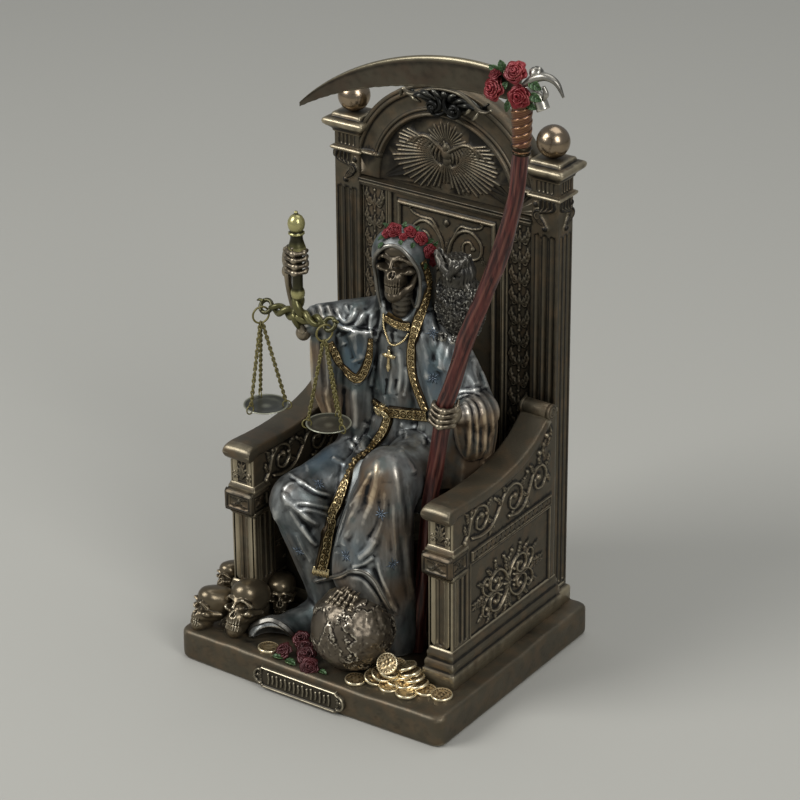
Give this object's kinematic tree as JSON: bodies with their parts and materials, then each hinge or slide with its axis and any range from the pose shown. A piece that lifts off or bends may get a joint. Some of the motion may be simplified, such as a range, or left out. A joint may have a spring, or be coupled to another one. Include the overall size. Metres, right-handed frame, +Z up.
{
  "type": "seated death figure statuette",
  "caption": "Seated robed skeleton statuette on a carved arched throne, with a scythe, hanging scales, an owl, a globe under one foot, and skulls, roses and coins on its plinth",
  "frame": {"origin": "centre of the plinth's flat underside", "axes": "+Z up, the throne and the figure face -Y, the figure's left hand with the scythe is at +X"},
  "size_m": [0.1473, 0.1099, 0.2616],
  "materials": {
    "bronze_resin": "dark bronze paint on cast resin, worn to pale gold on its raised edges",
    "robe_resin": "blue-grey metallic paint on cast resin, worn to silver and bronze on its folds",
    "snath_resin": "streaked red-brown lacquer on cast resin, dark bronze at the blade",
    "polished_ball": "polished pale bronze",
    "brass": "aged greenish brass, polished on its swellings",
    "dark_brass": "aged grey-green brass sheet"
  },
  "bodies": {
    "root": {"throne": "bronze_resin", "figure": "robe_resin", "scythe": "snath_resin", "scale_beam": "brass", "finial_left": "polished_ball", "finial_right": "polished_ball", "hanger_left": "brass", "hanger_right": "brass", "pan_left": "dark_brass", "pan_right": "dark_brass", "pan_ring_left_1": "brass", "pan_ring_left_2": "brass", "pan_ring_left_3": "brass", "pan_ring_right_1": "brass", "pan_ring_right_2": "brass", "pan_ring_right_3": "brass", "chain_left_1": "brass", "chain_left_2": "brass", "chain_left_3": "brass", "chain_right_1": "brass", "chain_right_2": "brass", "chain_right_3": "brass"}
  },
  "joints": []
}
